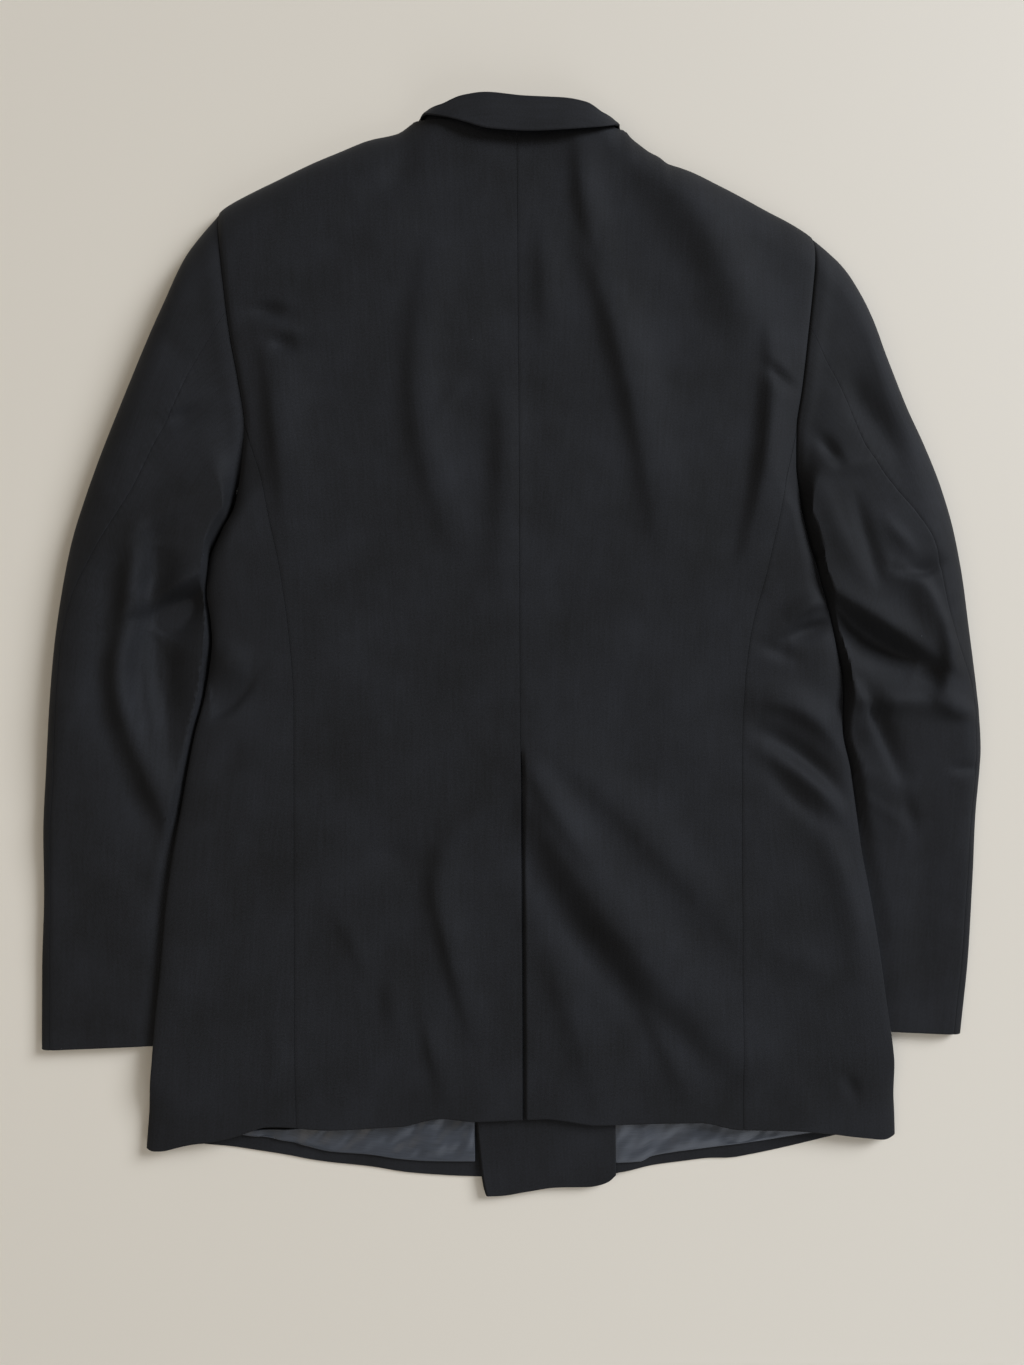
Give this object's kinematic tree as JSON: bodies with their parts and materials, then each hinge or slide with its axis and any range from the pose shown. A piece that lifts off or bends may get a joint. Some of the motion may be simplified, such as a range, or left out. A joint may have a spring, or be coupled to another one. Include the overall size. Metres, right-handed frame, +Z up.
{
  "type": "double-breasted suit jacket",
  "caption": "Dark wool double-breasted suit jacket laid flat on its fronts with the back up, sleeves at its sides, a centre back vent and a turned collar.",
  "frame": {"origin": "middle of the bounding box's bottom: on the surface that the jacket lies on, below the middle of the back", "axes": "X runs across the shoulders to the wearer's right sleeve, Y from the hem to the collar, Z up off the surface"},
  "size_m": [0.7408, 0.8588, 0.0392],
  "materials": {
    "worsted_wool": "matt twill",
    "lining_satin": "soft sheen",
    "button_resin": "satin"
  },
  "bodies": {
    "root": {"back_left": "worsted_wool", "back_right": "worsted_wool", "side_left": "worsted_wool", "side_right": "worsted_wool", "undersleeve_left": "worsted_wool", "undersleeve_right": "worsted_wool", "topsleeve_left": "worsted_wool", "topsleeve_right": "worsted_wool", "front_left": "worsted_wool", "front_right": "worsted_wool", "lapel_left": "worsted_wool", "lapel_right": "worsted_wool", "collar": "worsted_wool", "facing_right": "worsted_wool", "lining_left": "lining_satin", "lining_right": "lining_satin", "button_1": "button_resin", "button_2": "button_resin", "button_3": "button_resin", "button_4": "button_resin", "button_5": "button_resin", "button_6": "button_resin"}
  },
  "joints": []
}
